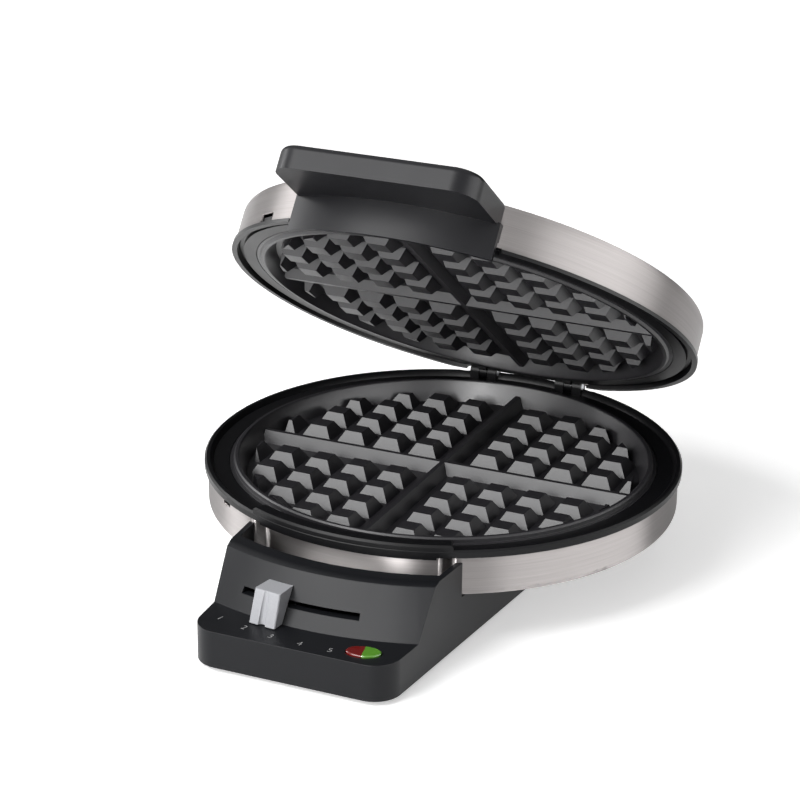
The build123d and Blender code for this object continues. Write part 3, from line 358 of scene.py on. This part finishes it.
class WAFFLE_OT_stage(bpy.types.Operator):
    """Floor, soft studio lights and the camera at the photograph's angle"""
    bl_idname = "waffle.stage"
    bl_label = "Stage"

    def execute(self, context):
        props = context.scene.waffle_stage
        self.camera(context, props)
        self.floor(props)
        self.lights(context)
        context.scene.view_settings.view_transform = "Standard"
        return {"FINISHED"}

    def camera(self, context, props):
        sy, cy = math.sin(props.yaw), math.cos(props.yaw)
        sp, cp = math.sin(props.pitch), math.cos(props.pitch)
        back = Vector((sy * cp, -cy * cp, sp))
        right = Vector((cy, sy, 0.0))
        up = back.cross(right)
        turn = Matrix.Rotation(props.roll, 3, back)
        right = turn @ right
        up = turn @ up
        aim = Vector((RING.x + props.aim_x, RING.y + props.aim_y, RIM_Z))
        place = aim + back * props.distance
        data = bpy.data.cameras.new("camera")
        data.sensor_width = 36.0
        data.lens = props.lens
        cam = link(bpy.data.objects.new("camera", data))
        rows = zip(right, up, back, place)
        cam.matrix_world = Matrix([*[tuple(row) for row in rows], (0, 0, 0, 1)])
        context.scene.camera = cam

    def floor(self, props):
        half = props.floor_size / 2
        bm = bmesh.new()
        for x, y in ((-1, -1), (1, -1), (1, 1), (-1, 1)):
            bm.verts.new((x * half, y * half, 0.0))
        bm.faces.new(bm.verts)
        floor = mesh_object("floor", bm)
        # Uncoated paper: white and quite matt.
        mat, tree, shader = new_material("white_paper_sweep",
                                         {"Base Color": linear(props.floor_colour),
                                          "Roughness": 0.9, "Specular IOR Level": 0.0})
        # Far from the lamps the paper glows more, so that it stays white up to its edge.
        coords = add_node(tree, "ShaderNodeTexCoord")
        away = add_node(tree, "ShaderNodeVectorMath", {"operation": "LENGTH"},
                        {"Vector": coords.outputs["Object"]})
        paper = add_node(tree, "ShaderNodeMapRange",
                         {"From Min": GLOW_FROM, "From Max": GLOW_TO, "To Min": GLOW_NEAR,
                          "To Max": GLOW_FAR}, {"Value": away.outputs["Value"]})
        strength = add_node(tree, "ShaderNodeMath", {"operation": "MULTIPLY"},
                            {0: seen_directly(tree), 1: paper.outputs["Result"]})
        glow = add_node(tree, "ShaderNodeEmission", {"Color": (1.0, 1.0, 1.0, 1.0)},
                        {"Strength": strength.outputs[0]})
        both = add_node(tree, "ShaderNodeAddShader")
        tree.links.new(shader.outputs["BSDF"], both.inputs[0])
        tree.links.new(glow.outputs["Emission"], both.inputs[1])
        out = [n for n in tree.nodes if n.type == "OUTPUT_MATERIAL"][0]
        tree.links.new(both.outputs[0], out.inputs["Surface"])
        floor.data.materials.append(mat)

    def lights(self, context):
        world = bpy.data.worlds.new("studio")
        world.use_nodes = True
        tree = world.node_tree
        tree.nodes.clear()
        sight = seen_directly(tree)
        level = add_node(tree, "ShaderNodeMapRange", {"To Min": ROOM_MATT, "To Max": ROOM_SEEN},
                         {"Value": sight})
        back = add_node(tree, "ShaderNodeBackground", {"Color": (1.0, 1.0, 1.0, 1.0)},
                        {"Strength": level.outputs["Result"]})
        out = add_node(tree, "ShaderNodeOutputWorld")
        tree.links.new(back.outputs["Background"], out.inputs["Surface"])
        context.scene.world = world
        aim = Vector((RING.x, RING.y, RIM_Z))
        # Each lamp: place in metres from the ring's middle at the rim's top, width, height, watts
        # and whether it lights matt surfaces too. The front softbox stands where the sloping panel
        # and the raised lid mirror it to the camera, the left and right ones where the lid's ends
        # do, and the strip where the pan's front does. Those three only light shiny parts.
        lamps = (("softbox_front_left", (-0.52, -0.86, 0.93), 0.8, 0.8, 17.0, True),
                 ("softbox_left", (-1.3, -0.05, 0.42), 0.4, 0.5, 6.0, False),
                 ("softbox_right", (1.3, 0.07, 0.42), 2.6, 0.8, 28.0, False),
                 ("softbox_low_left", (-0.45, -1.2, 0.3), 0.9, 0.5, 6.0, True),
                 ("strip_front", (0.06, -1.3, 0.3), 0.12, 0.9, 20.0, False),
                 ("softbox_top", (0.2, 0.4, 1.3), 1.0, 1.0, 0.6, True))
        for name, place, width, height, power, diffuse in lamps:
            data = bpy.data.lights.new(name, "AREA")
            data.shape = "RECTANGLE"
            data.size = width
            data.size_y = height
            data.energy = power
            lamp = link(bpy.data.objects.new(name, data))
            lamp.location = aim + Vector(place)
            lamp.rotation_euler = Vector(place).to_track_quat("Z", "Y").to_euler()
            lamp.visible_diffuse = diffuse
        self.flag("flag_back", aim + Vector((-0.3, 1.1, 0.35)), 3.4, 1.5)

    def flag(self, name, centre, width, height):
        """Black card out of the camera's sight that keeps the level black mouldings dark."""
        bm = bmesh.new()
        for x, z in ((-1, -1), (1, -1), (1, 1), (-1, 1)):
            bm.verts.new(centre + Vector((x * width / 2, 0.0, z * height / 2)))
        bm.faces.new(bm.verts)
        card = mesh_object(name, bm)
        # Wool felt: black with no shine at all.
        felt, _, _ = new_material("black_felt_card", {"Base Color": linear("#050505"),
                                                      "Roughness": 1.0,
                                                      "Specular IOR Level": 0.0})
        card.data.materials.append(felt)
        card.visible_camera = False
        card.visible_diffuse = False
        card.visible_shadow = False


def banded(node, name, edge, to_flat=Matrix()):
    """Copy of a sheet metal node with its band map: metres round the ring's axis and metres up.
    to_flat brings the node level, so that the lid's band runs round its own axis."""
    bm = joined_up(node)
    radius = max((to_flat @ v.co - RING).to_2d().length for v in bm.verts)
    uv = bm.loops.layers.uv.new("band")
    for face in bm.faces:
        normal = to_flat.to_3x3() @ face.normal
        middle = to_flat @ face.calc_center_median() - RING
        facing = math.atan2(middle.x, -middle.y)
        for loop in face.loops:
            place = to_flat @ loop.vert.co - RING
            if abs(normal.z) > 0.9:
                loop[uv].uv = place.to_2d()
                continue
            turn = math.atan2(place.x, -place.y) - facing
            turn = (turn + math.pi) % math.tau - math.pi
            loop[uv].uv = ((facing + turn) * radius, place.z + radius - place.to_2d().length)
    obj = mesh_object(name, bm)
    rounded(obj, edge)
    return obj


class WAFFLE_OT_steel(bpy.types.Operator):
    """Brushed steel lid cover and lower pan"""
    bl_idname = "waffle.steel"
    bl_label = "Steel covers"

    def execute(self, context):
        props = context.scene.waffle_steel
        steel = brushed_steel("stainless_sheet_brushed", props)
        cover = banded("lid_cover", "steel_lid_cover", props.rolled_edge, TO_REST.inverted())
        put(cover, steel, "brushed_steel", "lid", "lid_cover")
        pan = banded("lower_pan", "steel_lower_pan", props.rolled_edge)
        put(pan, steel, "brushed_steel", "root", "lower_pan")
        return {"FINISHED"}


class WAFFLE_OT_mouldings(bpy.types.Operator):
    """Satin mouldings: housing, rims and handle"""
    bl_idname = "waffle.mouldings"
    bl_label = "Mouldings"

    def execute(self, context):
        props = context.scene.waffle_plastic
        housing = moulded_plastic("abs_moulded_satin", props.housing_colour, 0.38)
        handle = moulded_plastic("phenolic_moulded_satin", props.handle_colour, 0.36)
        rim = moulded_plastic("phenolic_moulded_black", props.rim_colour, 0.34, 0.7, 0.01)
        put(softened("base_housing", "base_shell", 0.5), housing, "housing_plastic", "root",
            "base_housing")
        put(softened("lid_handle", "handle_shell", 0.6), handle, "handle_plastic", "lid",
            "lid_handle")
        put(softened("lower_rim", "lower_rim_ring", 0.3), rim, "rim_plastic", "root", "lower_rim")
        put(softened("lid_rim", "lid_rim_ring", 0.3), rim, "rim_plastic", "lid", "lid_rim")
        return {"FINISHED"}


class WAFFLE_OT_plates(bpy.types.Operator):
    """Cast grid plates with rounded pegs and ridges"""
    bl_idname = "waffle.plates"
    bl_label = "Grid plates"

    def execute(self, context):
        props = context.scene.waffle_plate
        coat = cast_coat("aluminium_cast_nonstick", props.coat_colour)
        put(softened("lower_grid_plate", "lower_plate", 0.4), coat, "nonstick_cast", "root",
            "lower_grid_plate")
        put(softened("upper_grid_plate", "upper_plate", 0.4), coat, "nonstick_cast", "lid",
            "upper_grid_plate")
        return {"FINISHED"}


class WAFFLE_OT_controls(bpy.types.Operator):
    """Browning slider, lenses and printed scale"""
    bl_idname = "waffle.controls"
    bl_label = "Controls"

    def execute(self, context):
        props = context.scene.waffle_plastic
        knob = moulded_plastic("abs_moulded_grey", props.slider_colour, 0.35, 0.6, 0.008)
        put(softened("browning_slider", "slider_knob", 0.35), knob, "slider_plastic", "slider",
            "browning_slider")
        for node, colour in (("red_lens", props.red_colour), ("green_lens", props.green_colour)):
            mat = clear_lens(f"acrylic_moulded_{node}", colour)
            NODES[node].data.materials.clear()
            NODES[node].data.materials.append(mat)
        self.scale(props)
        return {"FINISHED"}

    def scale(self, props):
        """Numbers printed on the nose along the slider's travel."""
        ink = moulded_plastic("ink_pad_printed", props.print_colour, 0.5, 0.3, 0.002)
        for i in range(DIGITS):
            az = math.radians(DIGIT_AZ + DIGIT_AZ_STEP * i)
            reach = (DIGIT_REACH + DIGIT_REACH_STEP * i) * MM
            text = bpy.data.curves.new(f"digit_{i + 1}", "FONT")
            text.body = str(i + 1)
            text.size = props.digit_height / DIGIT_ASPECT
            text.extrude = INK_T
            text.offset = STROKE_THIN
            text.align_x = "CENTER"
            text.align_y = "CENTER"
            digit = link(bpy.data.objects.new(f"scale_digit_{i + 1}", text))
            place = (RING.x + reach * math.sin(az), RING.y - reach * math.cos(az),
                     NOSE_Z + INK_LIFT)
            digit.matrix_world = Matrix.Translation(place) @ Matrix.Rotation(az, 4, "Z")
            digit.data.materials.append(ink)
            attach(digit, "root")


class WAFFLE_OT_small_parts(bpy.types.Operator):
    """Finishes of the parts that keep their own shape"""
    bl_idname = "waffle.small_parts"
    bl_label = "Small parts"

    def execute(self, context):
        zinc = plain_metal("steel_zinc_plated", "#B8BABD", 0.35)
        brass = plain_metal("brass_turned", "#C8A052", 0.3)
        sheath = plain_metal("steel_sheath_heat_tinted", "#6E665F", 0.45)
        sheet = plain_metal("aluminium_sheet_rolled", "#C9CACC", 0.3)
        cover = moulded_plastic("pp_moulded_matt", "#1E1E20", 0.55)
        rubber = moulded_plastic("rubber_moulded", "#17171A", 0.75, 0.8, 0.02)
        phenolic = moulded_plastic("phenolic_moulded_brown", "#3A2E28", 0.5)
        lamp = clear_lens("glass_neon_lamp", "#F2C9A0")
        finishes = {
            "base_screws": zinc, "lower_plate_screws": zinc, "thermostat_screws": zinc,
            "lever_screw": zinc, "slider_lever": zinc, "hinge_pins": zinc, "handle_screws": zinc,
            "upper_plate_screws": zinc, "thermostat_spindle": brass,
            "lower_heating_element": sheath, "upper_heating_element": sheath,
            "thermal_fuse": sheath, "upper_thermal_fuse": sheath,
            "lower_reflector": sheet, "upper_reflector": sheet,
            "bottom_cover": cover, "lamp_holder": cover, "rubber_feet": rubber,
            "cord_bushing": rubber, "thermostat_body": phenolic, "terminal_block": phenolic,
            "indicator_lamps": lamp,
        }
        for node, material in finishes.items():
            NODES[node].data.materials.clear()
            NODES[node].data.materials.append(material)
        return {"FINISHED"}


class WAFFLE_PT_panel(bpy.types.Panel):
    bl_label = "Waffle Maker"
    bl_idname = "WAFFLE_PT_panel"
    bl_space_type = "VIEW_3D"
    bl_region_type = "UI"
    bl_category = "Waffle Maker"

    def draw(self, context):
        for operator in OPERATORS:
            self.layout.operator(operator.bl_idname)


GROUPS = {"waffle_stage": WaffleStageProps, "waffle_steel": WaffleSteelProps,
          "waffle_plastic": WafflePlasticProps, "waffle_plate": WafflePlateProps}
OPERATORS = (WAFFLE_OT_stage, WAFFLE_OT_steel, WAFFLE_OT_mouldings, WAFFLE_OT_plates,
             WAFFLE_OT_controls, WAFFLE_OT_small_parts)
CLASSES = (*GROUPS.values(), *OPERATORS, WAFFLE_PT_panel)


def register():
    for cls in CLASSES:
        bpy.utils.register_class(cls)
    for name, group in GROUPS.items():
        setattr(bpy.types.Scene, name, PointerProperty(type=group))


def unregister():
    for name in GROUPS:
        delattr(bpy.types.Scene, name)
    for cls in reversed(CLASSES):
        bpy.utils.unregister_class(cls)


def main():
    register()
    for operator in OPERATORS:
        family, name = operator.bl_idname.split(".")
        getattr(getattr(bpy.ops, family), name)()


if __name__ == "__main__":
    main()
